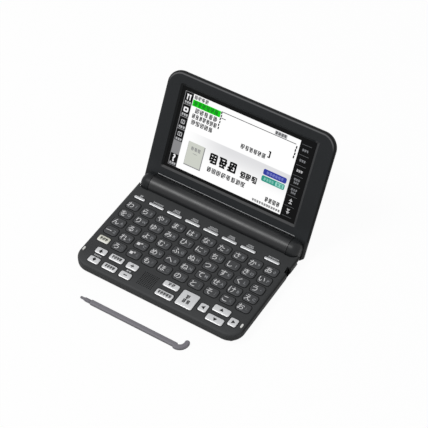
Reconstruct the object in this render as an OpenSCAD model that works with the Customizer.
// Pocket electronic dictionary: a clamshell with a keyboard base, a screen lid that turns
// about a battery barrel, and a hooked stylus that lies on the table in front of it.
// Millimetres. The table is z = 0, the front of the base faces -Y, the screen lid stands at +Y.

/* [Case] */
// Width across the sides of the lid
lid_w = 148; // [147:1:156]
// Depth from the front of the base to the back of the hinge barrel
body_d = 105.5; // [104.5:0.5:112]
// How much the base stands back from the sides of the lid
base_inset = 0.6; // [0.2:0.1:1]
// Height of the base without its feet
base_h = 9.6; // [9.4:0.1:11]
// Radius of the case corners seen from above
corner_r = 12.5; // [10:0.5:14]
// Thickness of the outer walls
wall_t = 1.5; // [1.2:0.1:1.8]
// Thickness of the floor of the lower case
floor_t = 1.4; // [1.2:0.1:1.6]
// Thickness of the keyboard cover
cover_t = 1.5; // [1.3:0.1:1.8]
// Depth of the cover's rim, down to the joint with the lower case
cover_rim_h = 3.4; // [3:0.1:4]
// Radius of the cover's upper outer edge
cover_edge_r = 2.4; // [1.5:0.1:2.8]
// Radius of the lower case's bottom outer edge
case_edge_r = 4.2; // [3:0.1:4.6]
// Height of the rubber feet
foot_h = 1.1; // [0.8:0.1:1.8]
// Radius of the rubber feet
foot_r = 4; // [3:0.5:5]
// How much the closed lid clears the keyboard cover
lid_gap = 1.05; // [1.05:0.05:1.4]

/* [Hinge] */
// Outer radius of the hinge barrel
barrel_r = 8.5; // [8.5:0.1:9]
// Wall of the hinge barrel
barrel_wall = 1.05; // [1:0.05:1.15]
// Depth of the hinge axis below the face of the keyboard cover
axis_drop = 1.3; // [1.2:0.1:1.8]
// Width of each lid arm beside the barrel
arm_w = 11; // [10:0.5:12]
// Gap between the barrel's ends and the arms
arm_gap = 0.4; // [0.3:0.1:0.6]
// Gap between the barrel and what turns or lies around it
barrel_gap = 0.5; // [0.4:0.1:0.7]
// Radius of the rounded outer end of each arm
arm_end_r = 6; // [4:0.5:7]
// Distance from an arm's round end to the side of the lid
arm_inset = 2; // [1:0.5:3]
// Angle from the closed lid to the lid as it stands
lid_open = 117.5; // [60:0.5:145]
// Radius of the hinge pins
pin_r = 2.5; // [2:0.1:3]
// Length of pin inside each arm
pin_reach = 6.5; // [5:0.5:7.5]
// Radial clearance of the pins in the arms
pin_fit = 0.05; // [0.03:0.01:0.1]

/* [Lid] */
// Radius of the lid's edge on the screen side
lid_face_edge_r = 2; // [1.5:0.1:2.2]
// Radius of the lid's edge on the outside
lid_back_edge_r = 3.8; // [3:0.1:3.9]
// Thickness of the plate around the screen
bezel_t = 1.2; // [1:0.1:1.4]
// Wall of the lid's back
lid_wall = 1.35; // [1.1:0.05:1.4]
// Distance from the hinge axis to the lower edge of the bezel
bezel_low = 9.3; // [9.2:0.1:10]
// Width of the lid's face at either side of the screen window
window_side = 14.8; // [14:0.1:17]
// Distance from the hinge axis to the lower edge of the window
window_low = 17.8; // [17:0.1:19]
// Distance from the upper edge of the window to the top of the lid
window_top = 10.7; // [10:0.1:12]
// How far the window's centre lies left of the lid's centre
window_shift = 0.6; // [0:0.1:1]
// Width of the bevel around the window
window_bevel = 1.7; // [1:0.1:2]
// How far the touch panel runs behind the window's edge
panel_lap = 1.3; // [1:0.1:1.6]
// Thickness of the touch panel
panel_t = 0.8; // [0.6:0.1:0.9]
// Thickness of the display module
display_t = 1.6; // [1.4:0.1:1.7]
// Border of the display module around its lit part
display_border = 2; // [1.5:0.1:2.5]
// Distance from the window's left edge to the lit part
screen_left = 3.1; // [2.6:0.1:4]
// Width of the dark strip with the touch cells, right of the lit part
touch_strip_w = 13.1; // [12:0.1:16]
// Distance from the window's lower edge to the lit part
screen_low = 2.5; // [2.5:0.1:3]
// Distance from the lit part to the window's upper edge
screen_top = 3.1; // [2.6:0.1:4]
// Thickness of the display board
display_board_t = 0.6; // [0.5:0.1:0.7]

/* [Keys] */
// Distance from the side of the base to the middle of the outermost letter keys
kana_side = 10.8; // [10.6:0.1:12]
// Space between the letter keys of a row
key_apart_x = 2.9; // [2.6:0.1:3.4]
// Space between the rows of letter keys
key_apart_y = 2.26; // [2.1:0.02:2.6]
// Corner radius of a letter key
key_corner_r = 2.2; // [1.5:0.1:3]
// Radius of the upper edge of every key
key_edge_r = 0.55; // [0.3:0.05:0.6]
// Distance from the front of the base to the front row of letter keys
key_front_y = 28.4; // [28:0.1:29]
// How far the keys stand above the cover
key_rise = 0.75; // [0.6:0.05:0.8]
// How far a key travels when it is pressed
key_travel = 0.8; // [0.5:0.05:0.85]
// Gap between a key and its opening in the cover
key_gap = 0.25; // [0.15:0.05:0.3]
// Thickness of the flange that holds a key under the cover
flange_t = 0.7; // [0.5:0.1:0.8]
// Width of that flange around the key
flange_lap = 0.7; // [0.5:0.05:0.8]
// Play of the flange under the cover, and of a pressed key over the rubber
flange_gap = 0.1; // [0.05:0.05:0.15]
// Space between the function bars
bar_apart = 3.5; // [3:0.1:4.5]
// Depth of the function bars
bar_d = 2.5; // [2.2:0.1:3]
// Distance from the barrel's front to the function bars
bar_back = 10.7; // [10.5:0.1:11.3]
// Distance from the function bars to the rear row of letter keys
bar_to_keys = 9.16; // [8.8:0.02:9.6]
// Corner radius of the light keys
light_corner_r = 1.3; // [0.8:0.1:1.6]
// Distance from the front of the base to the upper row of light keys
upper_light_y = 17.6; // [17.3:0.1:18]
// Distance from the front of the base to the lower row of light keys
lower_light_y = 7.8; // [7.5:0.1:8]

/* [Speaker grille] */
// Number of holes along each side of the grille
grille_n = 9; // [7:1:10]
// Distance between the holes of the grille
grille_pitch = 1.5; // [1.3:0.05:1.6]
// Radius of a hole of the grille
grille_hole_r = 0.4; // [0.3:0.05:0.5]
// Radius of the speaker
speaker_r = 8.6; // [7.5:0.1:8.8]
// Height of the speaker
speaker_h = 3.6; // [3:0.1:4]

/* [Inside] */
// Thickness of the main board
board_t = 0.6; // [0.5:0.1:0.7]
// Thickness of the rubber keypad sheet
rubber_t = 0.5; // [0.4:0.1:0.6]
// Height of a rubber dome above the sheet
dome_h = 0.5; // [0.4:0.1:0.6]
// Radius of a rubber dome
dome_r = 1.4; // [1:0.1:1.4]
// Distance from the side of the base to the main board
board_side = 8.1; // [7.4:0.1:8.8]
// Distance from the front of the base to the main board
board_front = 4.6; // [4.4:0.1:5]
// Distance from the main board to the barrel
board_back = 8.9; // [8.7:0.1:9.3]
// Radius of a battery cell
cell_r = 7.2; // [7:0.05:7.25]
// Length of a hinge clutch inside the barrel
clutch_len = 7.5; // [7.3:0.1:8]
// Radius of a screw's head
screw_head_r = 1.7; // [1.5:0.1:1.8]
// Height of a screw's head
screw_head_h = 1.2; // [1:0.1:1.4]
// Radius of a screw's shank
screw_r = 1; // [0.8:0.1:1.1]
// Depth of the holes that take the screw heads
screw_sink = 3; // [2.4:0.1:3.4]
// Wall of plastic around a screw
boss_wall = 0.9; // [0.7:0.1:1]

/* [Sockets] */
// Distance from the barrel's front to the earphone socket
jack_back = 15.3; // [15.1:0.1:15.5]
// Radius of the earphone socket's bore
jack_r = 1.8; // [1.78:0.01:1.85]
// Depth of the earphone socket's bore
jack_depth = 14; // [13:0.5:14.5]
// Distance from the front of the base to the data socket
usb_y = 53.5; // [50:0.5:56]
// Width of the data socket
usb_w = 7.5; // [7:0.1:8]
// Height of the data socket
usb_h = 2.5; // [2.3:0.1:2.6]
// Distance from the front of the base to the card slot
card_y = 33.4; // [30:0.1:36]
// Width of the card slot
card_w = 11.4; // [11.2:0.1:12]
// Height of the card socket
card_h = 1.8; // [1.6:0.1:2]

/* [Stylus] */
// Length of the stylus from its nib to the outside of its hook
stylus_len = 92.6; // [88:0.2:94]
// Width of the stylus
stylus_w = 3.1; // [2.8:0.1:3.1]
// Thickness of the stylus
stylus_t = 2.3; // [2:0.1:2.3]
// Radius of the hook along the middle of its bar
hook_r = 5.85; // [5:0.05:6.5]
// Angle that the hook turns through
hook_turn = 105; // [90:5:120]
// Length of the nib and its holder
nib_len = 9.5; // [8:0.5:11]
// Distance from the front of the base to the hook's centre
stylus_apart = 16.6; // [14:0.2:22]
// How far the hook's outside lies right of the centre
stylus_right = 42.6; // [36:0.2:50]
// Gap between the stowed stylus and its slot
slot_gap = 0.15; // [0.1:0.05:0.2]
// Distance from the barrel's front to the middle of the slot
slot_back = 12.5; // [12.3:0.1:12.7]
// Width of the seat for the hook in the right side
seat_w = 6.3; // [5.5:0.1:6.5]
// Depth of that seat
seat_d = 3; // [2.5:0.1:3.4]

/* [Hidden] */
$fn = 48;

// Room left where a cutter passes right through a face
cut = 1;
// Flat clearance between pieces that only lie near each other
near = 0.1;

// Levels of the base, from the table up
base_z = foot_h;
top_z = foot_h + base_h;
joint_z = top_z - cover_rim_h;
floor_z = base_z + floor_t;
cover_low_z = top_z - cover_t;
flange_z = cover_low_z - flange_gap - flange_t;
dome_z = flange_z - key_travel - flange_gap;
rubber_z = dome_z - dome_h - rubber_t;
board_z = rubber_z - board_t;

// Plan of the base
base_w = lid_w - 2 * base_inset;
base_half = base_w / 2;
hinge_y = body_d - barrel_r;
hinge_z = top_z - axis_drop;
barrel_half = lid_w / 2 - arm_w - arm_gap;
turn_r = barrel_r + barrel_gap;
bore_r = barrel_r - barrel_wall;
barrel_front_y = hinge_y - barrel_r;
rear_wall_y = barrel_front_y - 0.3;
lip_y = rear_wall_y - wall_t - 1;
bar_y = barrel_front_y - bar_back;
board_rear = barrel_front_y - board_back;
board_half_w = base_half - board_side;
jack_y = barrel_front_y - jack_back;
slot_y = barrel_front_y - slot_back;

// Lid levels, measured along the screen's normal from the hinge axis
bezel_n = -axis_drop - lid_gap;
back_n = -barrel_r;
lid_joint_n = bezel_n - lid_face_edge_r;
panel_n = bezel_n - bezel_t;
display_n = panel_n - panel_t;
display_board_n = display_n - display_t;
lid_len = hinge_y;
window_w = lid_w - 2 * window_side;
window_h = lid_len - window_low - window_top;
window_x = -window_shift;
window_mid = window_low + window_h / 2;
screen_w = window_w - screen_left - touch_strip_w;
screen_h = window_h - screen_low - screen_top;
screen_x = window_x - window_w / 2 + screen_left + screen_w / 2;
screen_mid = window_low + screen_low + screen_h / 2;
lid_tilt = 180 - lid_open;

// The whole object is centred over the origin from front to back
back_reach = (lid_len - lid_back_edge_r) * cos(lid_tilt)
    - (back_n + lid_back_edge_r) * sin(lid_tilt) + lid_back_edge_r;
rear_y = hinge_y + back_reach;
hook_outer_r = hook_r + stylus_w / 2;
front_y = -stylus_apart - hook_outer_r;
centre_y = (rear_y + front_y) / 2;

// Letter keys: ten across, five rows, spread over the base between its margins
kana_columns = 10;
kana_rows = 5;
key_pitch_x = (base_w - 2 * kana_side) / (kana_columns - 1);
key_pitch_y = (bar_y - bar_to_keys - key_front_y) / (kana_rows - 1);
key_w = key_pitch_x - key_apart_x;
key_d = key_pitch_y - key_apart_y;

// Places across the base and widths of keys are counted in pitches of the letter keys, and
// rounded to a tenth
function tenth(v) = round(10 * v) / 10;
bar_pitch = tenth(1.2 * key_pitch_x);
bar_w = bar_pitch - bar_apart;
bar_first_x = tenth(-3.378 * key_pitch_x);
power_key_w = tenth(0.69 * key_pitch_x);
power_key_x = tenth(-4.514 * key_pitch_x);
menu_key_x = tenth(4.14 * key_pitch_x);
light_wide = tenth(0.863 * key_pitch_x);
light_narrow = tenth(0.676 * key_pitch_x);
volume_key_w = tenth(0.704 * key_pitch_x);
shift_key_w = tenth(0.719 * key_pitch_x);
back_key_w = tenth(0.949 * key_pitch_x);
list_key_w = tenth(1.05 * key_pitch_x);
arrow_w = tenth(1.02 * key_pitch_x);
arrow_side_w = tenth(0.503 * key_pitch_x);
enter_side = tenth(1.064 * key_pitch_x);
shift_key_x = tenth(-4.507 * key_pitch_x);
page_keys_x = tenth(-4.133 * key_pitch_x);
jump_key_x = tenth(-3.113 * key_pitch_x);
voice_key_x = tenth(-3.105 * key_pitch_x);
volume_up_x = tenth(-2.085 * key_pitch_x);
volume_down_x = tenth(-2.078 * key_pitch_x);
back_keys_x = tenth(0.438 * key_pitch_x);
enter_key_x = tenth(1.682 * key_pitch_x);
arrow_left_x = tenth(2.689 * key_pitch_x);
arrow_up_x = tenth(3.623 * key_pitch_x);
arrow_down_x = tenth(3.616 * key_pitch_x);
arrow_right_x = tenth(4.543 * key_pitch_x);
light_d = 5.9;
back_key_d = 5.6;
volume_key_d = 6;
arrow_d = 6.2;
arrow_side_d = 7.4;
light_mid_y = (upper_light_y + lower_light_y) / 2;

// Light keys: name, centre, width and depth
light_keys = [
    ["shift_key", [shift_key_x, key_front_y], [shift_key_w, light_d]],
    ["page_up_key", [page_keys_x, upper_light_y], [light_narrow, light_d]],
    ["page_down_key", [page_keys_x, lower_light_y], [light_narrow, light_d]],
    ["jump_key", [jump_key_x, upper_light_y], [light_wide, light_d]],
    ["voice_key", [voice_key_x, lower_light_y], [light_wide, light_d]],
    ["volume_up_key", [volume_up_x, upper_light_y], [volume_key_w, volume_key_d]],
    ["volume_down_key", [volume_down_x, lower_light_y], [volume_key_w, volume_key_d]],
    ["back_key", [back_keys_x, upper_light_y], [back_key_w, back_key_d]],
    ["list_key", [back_keys_x, lower_light_y], [list_key_w, light_d]],
    ["enter_key", [enter_key_x, light_mid_y], [enter_side, enter_side]],
    ["arrow_left_key", [arrow_left_x, light_mid_y], [arrow_side_w, arrow_side_d]],
    ["arrow_up_key", [arrow_up_x, upper_light_y], [arrow_w, arrow_d]],
    ["arrow_down_key", [arrow_down_x, lower_light_y], [arrow_w, arrow_d]],
    ["arrow_right_key", [arrow_right_x, light_mid_y], [arrow_side_w, arrow_side_d]]
];
grille_mid_x = tenth(-0.841 * key_pitch_x);
grille_y = light_mid_y;

// Screws: the corners, then two beside the middle at the rear
screw_hole_r = screw_r + near;
boss_r = screw_head_r + 0.2 + boss_wall;
front_screw_x = base_half - 7.4;
front_screw_y = 5.2;
rear_screw_x = base_half - 5.4;
rear_screw_y = rear_wall_y - 5.9;
mid_screw_x = tenth(1.58 * key_pitch_x);
mid_screw_y = rear_wall_y - 5.6;
screw_places = [
    [-front_screw_x, front_screw_y], [front_screw_x, front_screw_y],
    [-rear_screw_x, rear_screw_y], [rear_screw_x, rear_screw_y],
    [-mid_screw_x, mid_screw_y], [mid_screw_x, mid_screw_y]
];
foot_x = base_half - 13;
front_foot_y = 14;
rear_foot_y = rear_wall_y - 9;
foot_places = [
    [-foot_x, front_foot_y], [foot_x, front_foot_y],
    [-foot_x, rear_foot_y], [foot_x, rear_foot_y]
];

// Posts under the main board
post_r = 1.6;
post_x = base_half - 23.4;
front_post_y = 23;
mid_post_y = 33;
rear_post_y = rear_wall_y - 24.7;
post_places = [
    [-post_x, front_post_y], [post_x, front_post_y], [0, mid_post_y],
    [-post_x, rear_post_y], [0, rear_post_y], [post_x, rear_post_y]
];

// Soft bumpers that the closed lid comes down on
bumper_w = 1.3;
bumper_d = 3.6;
bumper_x = base_half - 3;
bumper_y = 13.1;
bumper_places = [[-bumper_x, bumper_y], [bumper_x, bumper_y]];

// Stylus slot: the bar stands on edge in it, so that the hook turns up over the side
slot_w = stylus_t + 2 * slot_gap;
slot_h = board_z - floor_z;
slot_run = 6;
slot_end_x = base_half - stylus_len + hook_outer_r - slot_run;

plastic = [0.16, 0.165, 0.17];
plastic_dark = [0.1, 0.105, 0.11];
light_plastic = [0.9, 0.9, 0.89];
steel = [0.72, 0.73, 0.75];

// Place and shape helpers

module in_place() {
    translate([0, -centre_y, 0]) children();
}

// Lid coordinates: y runs from the hinge axis up the lid, z out of the screen
module on_lid() {
    translate([0, hinge_y, hinge_z]) rotate([lid_tilt, 0, 0]) children();
}

// Coordinates whose z axis is the hinge axis, pointing right
module on_axis() {
    translate([0, hinge_y, hinge_z]) rotate([0, 90, 0]) children();
}

module rounded_rect(w, d, r) {
    square([w - 2 * r, d], center = true);
    square([w, d - 2 * r], center = true);
    for (sx = [-1, 1]) {
        for (sy = [-1, 1]) {
            translate([sx * (w / 2 - r), sy * (d / 2 - r)]) circle(r);
        }
    }
}

module rounded_plate(w, d, h, r) {
    linear_extrude(h) rounded_rect(w, d, r);
}

// Section of a pillow: flat ends, with its own radius below and above
module pillow_section(w, h, low_r, high_r) {
    mid = (low_r + h - high_r) / 2;
    translate([-w / 2 + low_r, 0]) square([w - 2 * low_r, mid]);
    translate([-w / 2 + high_r, mid]) square([w - 2 * high_r, h - mid]);
    translate([-w / 2, low_r]) square([w, h - low_r - high_r]);
    for (side = [-1, 1]) {
        if (low_r > 0) {
            translate([side * (w / 2 - low_r), low_r]) quarter_disc(low_r, side, -1);
        }
        translate([side * (w / 2 - high_r), h - high_r]) quarter_disc(high_r, side, 1);
    }
}

// Quarter of a disc, on the side and the height that the two signs name
module quarter_disc(r, side, up) {
    intersection() {
        circle(r);
        translate([side > 0 ? 0 : -r, up > 0 ? 0 : -r]) square(r);
    }
}

module pillow_corner(r, h, low_r, high_r) {
    rotate_extrude() intersection() {
        pillow_section(2 * r, h, low_r, high_r);
        square([r, h]);
    }
}

// Block with rounded corners in plan and rounded edges all round
module pillow(w, d, h, r, low_r, high_r) {
    rotate([90, 0, 0]) linear_extrude(d - 2 * r, center = true) {
        pillow_section(w, h, low_r, high_r);
    }
    rotate([90, 0, 90]) linear_extrude(w - 2 * r, center = true) {
        pillow_section(d, h, low_r, high_r);
    }
    for (sx = [-1, 1]) {
        for (sy = [-1, 1]) {
            translate([sx * (w / 2 - r), sy * (d / 2 - r), 0]) pillow_corner(r, h, low_r, high_r);
        }
    }
}

// Block whose four sides slope from one rectangle to another over the height h
module sloped_block(w0, d0, w1, d1, h) {
    intersection() {
        rotate([90, 0, 0]) linear_extrude(max(d0, d1) + cut, center = true) {
            polygon([[-w0 / 2, 0], [w0 / 2, 0], [w1 / 2, h], [-w1 / 2, h]]);
        }
        rotate([90, 0, 90]) linear_extrude(max(w0, w1) + cut, center = true) {
            polygon([[-d0 / 2, 0], [d0 / 2, 0], [d1 / 2, h], [-d1 / 2, h]]);
        }
    }
}

// Base

// Outer form of the base, running on past the hinge axis at the rear
module base_form() {
    run = hinge_y + 2 * corner_r;
    translate([0, run / 2, base_z]) {
        pillow(base_w, run, base_h, corner_r, case_edge_r, cover_edge_r);
    }
}

// What the barrel, the lid's arms and the battery cover take away from the base
module hinge_room() {
    on_axis() cylinder(r = turn_r, h = lid_w + 2 * cut, center = true);
    translate([0, rear_wall_y + body_d / 2, 0]) {
        cube([2 * (barrel_half + arm_gap / 2), body_d, 4 * base_h], center = true);
    }
    translate([0, hinge_y - 4 + body_d / 2, 0]) {
        cube([lid_w + 2 * cut, body_d, 4 * base_h], center = true);
    }
}

// Seat in the right side for the hook of the stowed stylus
module hook_seat() {
    translate([base_half - seat_d, slot_y - seat_w / 2, floor_z]) {
        cube([seat_d + cut, seat_w, base_h]);
    }
}

module base_hollow(low, high) {
    run = hinge_y + 2 * corner_r;
    inner_r = corner_r - wall_t;
    difference() {
        translate([0, run / 2, low]) {
            rounded_plate(base_w - 2 * wall_t, run - 2 * wall_t, high - low, inner_r);
        }
        translate([-lid_w / 2, rear_wall_y - wall_t, low - cut]) {
            cube([lid_w, body_d, high - low + 2 * cut]);
        }
    }
}

module screw_bosses(low, high, r, hole_r) {
    for (p = screw_places) {
        translate([p[0], p[1], low]) difference() {
            cylinder(r = r, h = high - low);
            translate([0, 0, -cut]) cylinder(r = hole_r, h = high - low + 2 * cut);
        }
    }
}

// Openings in the left side of the lower case
module socket_openings() {
    left = -base_half - cut;
    translate([left, jack_y, jack_z]) rotate([0, 90, 0]) {
        cylinder(r = jack_nose_r + near, h = wall_t + cut + near);
    }
    translate([left, usb_y - usb_w / 2 - 0.4, usb_z - 0.3]) {
        cube([wall_t + 3, usb_w + 0.8, usb_h + 0.6]);
    }
    translate([left, card_y - card_w / 2 - 0.3, card_z + 0.1]) {
        cube([wall_t + 3, card_w + 0.6, card_h - 0.2]);
    }
}

module base_lower_case() {
    color(plastic) in_place() difference() {
        union() {
            difference() {
                intersection() {
                    base_form();
                    translate([-lid_w, -cut, 0]) cube([2 * lid_w, 2 * body_d, joint_z]);
                }
                base_hollow(floor_z, top_z);
            }
            screw_bosses(floor_z, joint_z, boss_r, screw_hole_r);
            for (p = post_places) {
                translate([p[0], p[1], floor_z]) cylinder(r = post_r, h = board_z - floor_z);
            }
            // Two ribs carry the stylus and guide it as it slides in
            for (side = [-1, 1]) {
                translate([slot_end_x, slot_y + side * (slot_w + 1) / 2 - 0.5, floor_z]) {
                    cube([base_half - wall_t - slot_end_x, 1, slot_h]);
                }
            }
        }
        hinge_room();
        hook_seat();
        socket_openings();
        translate([slot_end_x + 2, slot_y - slot_w / 2, floor_z]) {
            cube([stylus_len + wall_t + slot_run, slot_w, slot_h]);
        }
        for (p = screw_places) {
            translate([p[0], p[1], base_z - cut]) {
                cylinder(r = screw_head_r + 0.2, h = screw_sink + cut);
                cylinder(r = screw_hole_r, h = base_h);
            }
        }
    }
}

// Keys

module key_solid(at, size, corner) {
    translate([at[0], at[1], flange_z]) {
        rounded_plate(size[0] + 2 * flange_lap, size[1] + 2 * flange_lap, flange_t,
            corner + flange_lap);
    }
    translate([at[0], at[1], flange_z]) {
        pillow(size[0], size[1], top_z + key_rise - flange_z, corner, 0, key_edge_r);
    }
}

module key_opening(at, size, corner) {
    translate([at[0], at[1], cover_low_z - cut]) {
        rounded_plate(size[0] + 2 * key_gap, size[1] + 2 * key_gap, cover_t + 2 * cut,
            corner + key_gap);
    }
}

function kana_x(column) = (column - (kana_columns - 1) / 2) * key_pitch_x;
function kana_y(row) = key_front_y + (kana_rows - row) * key_pitch_y;
// The front row starts one place in, because the shift key stands in its first place
function first_column(row) = row == kana_rows ? 1 : 0;
function kana_places(row) = [for (c = [first_column(row) : kana_columns - 1]) [kana_x(c), kana_y(row)]];
function bar_place(i) = [bar_first_x + i * bar_pitch, bar_y];
function bar_corner() = bar_d / 2 - 0.35;

module kana_row(row) {
    color(plastic) in_place() {
        for (p = kana_places(row)) {
            key_solid(p, [key_w, key_d], key_corner_r);
        }
    }
}

module bar_key(at, width) {
    color(light_plastic) in_place() key_solid(at, [width, bar_d], bar_corner());
}

module light_key(i) {
    tint = i == 0 ? [0.84, 0.84, 0.78] : light_plastic;
    color(tint) in_place() {
        key_solid(light_keys[i][1], light_keys[i][2], light_corner_r);
    }
}

module every_key_opening() {
    for (row = [1 : kana_rows]) {
        for (p = kana_places(row)) {
            key_opening(p, [key_w, key_d], key_corner_r);
        }
    }
    for (i = [0 : 5]) {
        key_opening(bar_place(i), [bar_w, bar_d], bar_corner());
    }
    key_opening([power_key_x, bar_y], [power_key_w, bar_d], bar_corner());
    key_opening([menu_key_x, bar_y], [bar_w, bar_d], bar_corner());
    for (k = light_keys) {
        key_opening(k[1], k[2], light_corner_r);
    }
}

// Centres of all keys, for the domes under them
key_centres = concat(
    [for (row = [1 : kana_rows]) each kana_places(row)],
    [for (i = [0 : 5]) bar_place(i)],
    [[power_key_x, bar_y], [menu_key_x, bar_y]],
    [for (k = light_keys) k[1]]
);
module grille_holes() {
    half = (grille_n - 1) / 2 * grille_pitch;
    for (i = [0 : grille_n - 1]) {
        for (j = [0 : grille_n - 1]) {
            translate([grille_mid_x - half + i * grille_pitch, grille_y - half + j * grille_pitch,
                cover_low_z - cut]) {
                cylinder(r = grille_hole_r, h = cover_t + 2 * cut, $fn = 16);
            }
        }
    }
}

module keyboard_cover() {
    color(plastic) in_place() difference() {
        union() {
            difference() {
                intersection() {
                    base_form();
                    translate([-lid_w, -cut, joint_z]) cube([2 * lid_w, 2 * body_d, 2 * base_h]);
                }
                base_hollow(joint_z - cut, cover_low_z);
            }
            screw_bosses(joint_z, cover_low_z + near, screw_r + boss_wall, screw_r + near / 2);
        }
        hinge_room_cover();
        hook_seat();
        every_key_opening();
        grille_holes();
    }
}

// The cover reaches right up to the barrel, and follows the arms' round ends at a distance
module hinge_room_cover() {
    on_axis() cylinder(r = barrel_r + near, h = lid_w - 2 * arm_w, center = true);
    translate([0, hinge_y, hinge_z]) {
        for (side = [-1, 1]) {
            arm_drum(side, barrel_gap);
        }
    }
    translate([-lid_w, hinge_y - barrel_r / 2, 0]) cube([2 * lid_w, body_d, 4 * base_h]);
    translate([-barrel_half, lip_y - near, joint_z - cut]) {
        cube([2 * barrel_half, wall_t + 3, cover_low_z - joint_z + cut]);
    }
}

// Hinge barrel and what it holds

// Each cell ends in a button, and the two lie end to end between the contacts
clutch_x = barrel_half - clutch_len;
bulkhead_t = 1;
door_half = clutch_x - 0.5 - bulkhead_t;
contact_room = 2.9;
cell_button = 1;
cell_end = door_half - contact_room;
cell_len = cell_end - cell_button - 2 * near;
door_from = -170;
door_to = -12;

module hinge_barrel() {
    color(plastic) in_place() difference() {
        union() {
            on_axis() difference() {
                cylinder(r = barrel_r, h = 2 * barrel_half, center = true);
                cylinder(r = bore_r, h = 2 * barrel_half + cut, center = true);
            }
            on_axis() for (side = [-1, 1]) {
                translate([0, 0, side * (door_half + bulkhead_t / 2)]) {
                    cylinder(r = bore_r + near, h = bulkhead_t, center = true);
                }
            }
            // Lip that is clamped between the lower case and the keyboard cover
            difference() {
                translate([-barrel_half + 1, lip_y, joint_z]) {
                    cube([2 * barrel_half - 2, hinge_y - lip_y, cover_low_z - joint_z]);
                }
                on_axis() cylinder(r = bore_r + barrel_wall / 2, h = lid_w, center = true);
            }
        }
        // Way in for the cells, closed by the battery cover
        difference() {
            on_axis() cylinder(r = barrel_r + cut, h = 2 * door_half, center = true);
            barrel_upper(door_half + cut);
        }
        for (p = screw_places) {
            translate([p[0], p[1], joint_z - cut]) cylinder(r = boss_r + near, h = base_h);
        }
    }
}

// Everything above the two joints of the battery cover
module barrel_upper(half) {
    reach = 2 * barrel_r;
    translate([-half, hinge_y, hinge_z]) rotate([90, 0, 90]) linear_extrude(2 * half) {
        polygon([[0, 0], reach * [cos(door_to), sin(door_to)], [reach, reach], [-reach, reach],
            reach * [cos(door_from), sin(door_from)]]);
    }
}

module battery_cover() {
    joint = 0.25;
    color(plastic) in_place() difference() {
        on_axis() difference() {
            cylinder(r = barrel_r, h = 2 * (door_half - joint), center = true);
            cylinder(r = bore_r, h = 2 * door_half, center = true);
        }
        translate([0, 0, -joint]) barrel_upper(door_half);
        // Grip grooves for a thumb
        for (i = [-2 : 2]) {
            translate([door_half - 14 + i * 2, hinge_y, hinge_z - barrel_r]) {
                cube([0.8, 9, 0.7], center = true);
            }
        }
    }
}

module battery_cells() {
    color([0.25, 0.45, 0.62]) in_place() on_axis() {
        for (from = [-cell_end, cell_end - cell_len - cell_button]) {
            translate([0, 0, from]) {
                cylinder(r = cell_r, h = cell_len);
                cylinder(r = 2.7, h = cell_len + cell_button);
            }
        }
    }
}

// Plate at the right, plate with a coiled spring at the left
module battery_contacts() {
    plate_t = 0.3;
    plate_r = 6;
    wire_r = 0.4;
    coil_r = 4.6;
    color(steel) in_place() on_axis() {
        translate([0, 0, door_half - plate_t]) cylinder(r = plate_r, h = plate_t);
        translate([0, 0, cell_end + 2 * near]) cylinder(r = 3.2, h = contact_room - 2 * near);
        translate([0, 0, -door_half]) cylinder(r = plate_r, h = plate_t);
        for (i = [0 : 2]) {
            translate([0, 0, -door_half + plate_t + wire_r * (1.9 * i + 0.9)]) rotate_extrude() {
                translate([coil_r - 0.2 * i, 0]) circle(wire_r, $fn = 16);
            }
        }
    }
}

// Friction clutch in the end of the barrel, with the pin that carries one arm of the lid
module hinge_clutch(side) {
    disc_t = 2;
    inset = 0.3;
    neck_r = bore_r - 1.6;
    color(steel) in_place() on_axis() mirror([0, 0, side < 0 ? 1 : 0]) {
        translate([0, 0, clutch_x]) {
            cylinder(r = bore_r - near, h = disc_t);
            cylinder(r = neck_r, h = clutch_len - inset);
            cylinder(r = pin_r, h = clutch_len + arm_gap + pin_reach);
        }
        translate([0, 0, barrel_half - disc_t]) cylinder(r = bore_r - near, h = disc_t - inset);
    }
}

// Boards, keypad, speaker and sockets

usb_z = board_z - usb_h;
card_z = board_z - card_h;
jack_half_w = 3.1;
jack_wall = 0.4;
jack_z = floor_z + jack_r + jack_wall;
jack_nose_r = jack_r + jack_wall;
board_mid_y = (board_front + board_rear) / 2;

module board_plan() {
    difference() {
        translate([0, board_mid_y]) {
            rounded_rect(2 * board_half_w, board_rear - board_front, 8);
        }
        translate([grille_mid_x, grille_y]) square(2 * speaker_r + 0.6, center = true);
        translate([-board_half_w - cut, jack_y - jack_half_w - 0.2]) {
            square([jack_depth, 2 * jack_half_w + 0.4]);
        }
    }
}

module main_board() {
    chip_side = 14;
    chip_t = 1.4;
    memory_w = 9;
    memory_d = 12;
    memory_t = 1.1;
    chips_y = board_mid_y + 8;
    color([0.1, 0.35, 0.2]) in_place() {
        translate([0, 0, board_z]) linear_extrude(board_t) board_plan();
        // Two large chips under the board
        translate([tenth(1.8 * key_pitch_x), chips_y, board_z - chip_t / 2]) {
            cube([chip_side, chip_side, chip_t], center = true);
        }
        translate([tenth(-0.6 * key_pitch_x), chips_y, board_z - memory_t / 2]) {
            cube([memory_w, memory_d, memory_t], center = true);
        }
    }
}

module keypad_rubber() {
    color([0.75, 0.76, 0.78]) in_place() {
        translate([0, 0, rubber_z]) linear_extrude(rubber_t) board_plan();
        for (p = key_centres) {
            translate([p[0], p[1], rubber_z + rubber_t / 2]) {
                cylinder(r = min(dome_r, bar_d / 2), h = dome_h + rubber_t / 2);
            }
        }
    }
}

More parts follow.
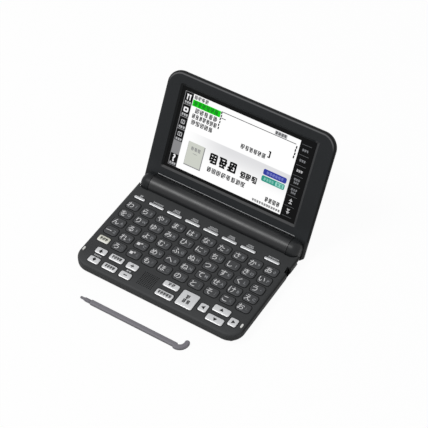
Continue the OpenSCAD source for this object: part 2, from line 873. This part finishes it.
module speaker() {
    color(plastic_dark) in_place() translate([grille_mid_x, grille_y, 0]) {
        translate([0, 0, cover_low_z - near - speaker_h]) {
            cylinder(r = speaker_r - 1, h = speaker_h - 0.8);
        }
        translate([0, 0, cover_low_z - near - 1.2]) difference() {
            cylinder(r = speaker_r, h = 1.2);
            translate([0, 0, 0.8]) cylinder(r = speaker_r - 1, h = cut);
        }
    }
}

// The socket's nose stands in the opening in the side of the case, a little sunk
module earphone_socket() {
    nose_sink = 0.8;
    mouth = -base_half + nose_sink;
    body_x = -base_half + wall_t + near;
    end_wall = 1.2;
    color(plastic_dark) in_place() difference() {
        union() {
            translate([body_x, jack_y - jack_half_w, floor_z]) {
                cube([mouth + jack_depth + end_wall - body_x, 2 * jack_half_w, 2 * jack_nose_r]);
            }
            translate([mouth, jack_y, jack_z]) rotate([0, 90, 0]) {
                cylinder(r = jack_nose_r, h = wall_t);
            }
        }
        translate([mouth - cut, jack_y, jack_z]) rotate([0, 90, 0]) {
            cylinder(r = jack_r, h = jack_depth + cut);
        }
    }
}

module data_socket() {
    shell = 0.3;
    depth = 5.6;
    mouth = -base_half + wall_t;
    color(steel) in_place() {
        difference() {
            translate([mouth, usb_y - usb_w / 2, usb_z]) cube([depth, usb_w, usb_h]);
            translate([mouth - cut, usb_y - usb_w / 2 + shell, usb_z + shell]) {
                cube([depth - shell + cut, usb_w - 2 * shell, usb_h - 2 * shell]);
            }
        }
        translate([mouth + 1, usb_y - usb_w / 4, usb_z + usb_h / 2 - 0.3]) {
            cube([depth - 1, usb_w / 2, 0.6]);
        }
    }
}

module card_socket() {
    depth = 14;
    shell = 0.25;
    mouth = -base_half + wall_t;
    color(steel) in_place() difference() {
        translate([mouth, card_y - card_w / 2 - 1.2, card_z]) cube([depth, card_w + 2.4, card_h]);
        translate([mouth - cut, card_y - card_w / 2, card_z + shell]) {
            cube([depth - 1 + cut, card_w, card_h - 2 * shell]);
        }
    }
}

module rubber_feet() {
    color(plastic_dark) in_place() {
        for (p = foot_places) {
            translate([p[0], p[1], 0]) pillow_foot();
        }
    }
}

module pillow_foot() {
    edge = 0.4;
    rotate_extrude() {
        square([foot_r - edge, foot_h]);
        translate([0, edge]) square([foot_r, foot_h - edge]);
        translate([foot_r - edge, edge]) circle(edge);
    }
}

module case_screws() {
    head_z = base_z + screw_sink - screw_head_h;
    slot = 0.5;
    color(steel) in_place() {
        for (p = screw_places) {
            translate([p[0], p[1], head_z]) difference() {
                union() {
                    cylinder(r = screw_head_r, h = screw_head_h);
                    cylinder(r = screw_r, h = cover_low_z - head_z - 0.3);
                }
                cube([2 * screw_head_r - 0.8, slot, slot], center = true);
                cube([slot, 2 * screw_head_r - 0.8, slot], center = true);
            }
        }
    }
}

module closing_bumpers() {
    color(light_plastic) in_place() {
        for (p = bumper_places) {
            translate([p[0], p[1], top_z]) rounded_plate(bumper_w, bumper_d, lid_gap - 0.2, bumper_w / 2 - 0.05);
        }
    }
}

// Lid, in lid coordinates

module lid_form() {
    over = 2 * corner_r;
    translate([0, (lid_len - over) / 2, back_n]) {
        pillow(lid_w, lid_len + over, bezel_n - back_n, corner_r, lid_back_edge_r, lid_face_edge_r);
    }
}

// Half of the space on one side of a level, cut to one side of a line across the lid
module lid_part(low_n, high_n, from_e, to_e) {
    translate([-lid_w, from_e, low_n]) cube([2 * lid_w, to_e - from_e, high_n - low_n]);
}

// Round the hinge axis, one arm's end: a drum with a rounded outer end, and room round it
module arm_drum(side, room) {
    inner = lid_w / 2 - arm_w - room;
    outer_r = barrel_r + room;
    end_r = arm_end_r + room;
    drum_w = arm_w - arm_inset + 2 * room;
    rotate([0, 90, 0]) mirror([0, 0, side < 0 ? 1 : 0]) translate([0, 0, inner]) {
        rotate_extrude() {
            square([outer_r, drum_w - end_r]);
            square([outer_r - end_r, drum_w]);
            intersection() {
                translate([outer_r - end_r, drum_w - end_r]) circle(end_r);
                square(2 * outer_r);
            }
        }
    }
}

module barrel_room() {
    rotate([0, 90, 0]) cylinder(r = turn_r, h = 2 * (lid_w / 2 - arm_w), center = true);
}

hollow_low = bezel_low + wall_t + 1;

module lid_back() {
    hollow_len = lid_len - wall_t - hollow_low;
    color(plastic) in_place() on_lid() difference() {
        union() {
            intersection() {
                lid_form();
                union() {
                    lid_part(back_n - cut, lid_joint_n, bezel_low - cut, lid_len + cut);
                    lid_part(back_n - cut, bezel_n + cut, 0, bezel_low);
                    rotate([0, 90, 0]) cylinder(r = barrel_r, h = lid_w + 2 * cut, center = true);
                }
            }
            for (side = [-1, 1]) {
                arm_drum(side, 0);
            }
        }
        barrel_room();
        translate([0, hollow_low + hollow_len / 2, back_n + lid_wall]) {
            rounded_plate(lid_w - 2 * wall_t - 2, hollow_len - 1, barrel_r, corner_r - wall_t);
        }
        for (side = [-1, 1]) {
            translate([side * (lid_w / 2 - arm_w - cut), 0, 0]) rotate([0, side * 90, 0]) {
                cylinder(r = pin_r + pin_fit, h = pin_reach + cut + 0.4);
            }
        }
    }
}

module screen_bezel() {
    hollow_len = lid_len - wall_t - hollow_low;
    color(plastic) in_place() on_lid() difference() {
        intersection() {
            lid_form();
            lid_part(lid_joint_n, bezel_n + cut, bezel_low, lid_len + cut);
        }
        translate([0, hollow_low + hollow_len / 2, lid_joint_n - cut]) {
            rounded_plate(lid_w - 2 * wall_t - 2, hollow_len - 1, panel_n - lid_joint_n + cut,
                corner_r - wall_t);
        }
        // The window, with a bevel that slopes from the face down to the touch panel
        translate([window_x, window_mid, panel_n - cut]) {
            linear_extrude(bezel_t + 2 * cut) square([window_w, window_h], center = true);
        }
        translate([window_x, window_mid, panel_n + 0.2]) {
            sloped_block(window_w, window_h, window_w + 2 * window_bevel,
                window_h + 2 * window_bevel, bezel_t - 0.2);
        }
    }
}

module touch_panel() {
    color([0.03, 0.03, 0.035]) in_place() on_lid() {
        translate([window_x, window_mid, display_n]) {
            rounded_plate(window_w + 2 * panel_lap, window_h + 2 * panel_lap, panel_t, 1);
        }
    }
}

module display_module() {
    color([0.85, 0.86, 0.86]) in_place() on_lid() {
        translate([screen_x, screen_mid, display_board_n]) {
            rounded_plate(screen_w + 2 * display_border, screen_h + 2 * display_border, display_t, 0.6);
        }
    }
}

// The board behind the display stands back from the lit part, most of all below
display_board_w = screen_w - 16.2;
display_board_h = screen_h - 18.9;
display_board_mid = screen_mid + 4;
display_board_back = display_board_n - display_board_t;

module display_board() {
    color([0.1, 0.35, 0.2]) in_place() on_lid() {
        translate([screen_x, display_board_mid, display_board_back]) {
            rounded_plate(display_board_w, display_board_h, display_board_t, 1);
        }
    }
}

// Ribbon from the display board down to the hollow of the left arm
module display_ribbon() {
    ribbon_t = 0.2;
    ribbon_w = 14;
    ribbon_lap = 6;
    ribbon_side = 3;
    ribbon_x = screen_x - display_board_w / 2 + ribbon_side;
    low = hollow_low + 1;
    high = display_board_mid - display_board_h / 2 + ribbon_lap;
    color([0.8, 0.5, 0.2]) in_place() on_lid() {
        translate([ribbon_x, low, display_board_back - ribbon_t]) {
            cube([ribbon_w, high - low, ribbon_t]);
        }
    }
}

// Stylus, lying flat on the table in front of the base

hook_x = stylus_right - hook_outer_r;
shank_y = -stylus_apart - hook_r + 1;
nib_x = stylus_right - stylus_len;
shank_x = nib_x + nib_len;

module stylus_body() {
    edge = 0.6;
    color([0.5, 0.49, 0.53]) in_place() {
        translate([(shank_x + hook_x) / 2, shank_y, 0]) {
            rotate([90, 0, 90]) linear_extrude(hook_x - shank_x, center = true) {
                pillow_section(stylus_w, stylus_t, edge, edge);
            }
        }
        translate([hook_x, -stylus_apart, 0]) {
            rotate([0, 0, -95]) rotate_extrude(angle = hook_turn) {
                translate([hook_r, 0]) pillow_section(stylus_w, stylus_t, edge, edge);
            }
            for (a = [-95, hook_turn - 95]) {
                rotate([0, 0, a]) translate([hook_r, 0, 0]) {
                    pillow_corner(stylus_w / 2, stylus_t, edge, edge);
                }
            }
        }
    }
}

// Tapered holder and the thin nib that it grips
module stylus_nib() {
    holder = nib_len - 3;
    axis_z = stylus_t / 2;
    color([0.3, 0.3, 0.32]) in_place() {
        translate([shank_x, shank_y, axis_z]) rotate([0, -90, 0]) {
            cylinder(r = axis_z, h = holder - 1.5);
            translate([0, 0, holder - 1.5]) cylinder(r1 = axis_z, r2 = 0.7, h = 1.5);
            cylinder(r = 0.55, h = nib_len - 0.55);
            translate([0, 0, nib_len - 0.55]) sphere(0.55);
        }
    }
}

base_lower_case();
keyboard_cover();
hinge_barrel();
battery_cover();
battery_cells();
battery_contacts();
hinge_clutch(-1);  // hinge_clutch_left
hinge_clutch(1);  // hinge_clutch_right
keypad_rubber();
main_board();
speaker();
earphone_socket();
data_socket();
card_socket();
rubber_feet();
case_screws();
closing_bumpers();
lid_back();
screen_bezel();
touch_panel();
display_module();
display_board();
display_ribbon();
kana_row(1);  // kana_row_1
kana_row(2);  // kana_row_2
kana_row(3);  // kana_row_3
kana_row(4);  // kana_row_4
kana_row(5);  // kana_row_5
bar_key([power_key_x, bar_y], power_key_w);  // power_key
bar_key(bar_place(0), bar_w);  // function_key_1
bar_key(bar_place(1), bar_w);  // function_key_2
bar_key(bar_place(2), bar_w);  // function_key_3
bar_key(bar_place(3), bar_w);  // function_key_4
bar_key(bar_place(4), bar_w);  // function_key_5
bar_key(bar_place(5), bar_w);  // function_key_6
bar_key([menu_key_x, bar_y], bar_w);  // menu_key
light_key(0);  // shift_key
light_key(1);  // page_up_key
light_key(2);  // page_down_key
light_key(3);  // jump_key
light_key(4);  // voice_key
light_key(5);  // volume_up_key
light_key(6);  // volume_down_key
light_key(7);  // back_key
light_key(8);  // list_key
light_key(9);  // enter_key
light_key(10);  // arrow_left_key
light_key(11);  // arrow_up_key
light_key(12);  // arrow_down_key
light_key(13);  // arrow_right_key
stylus_body();
stylus_nib();
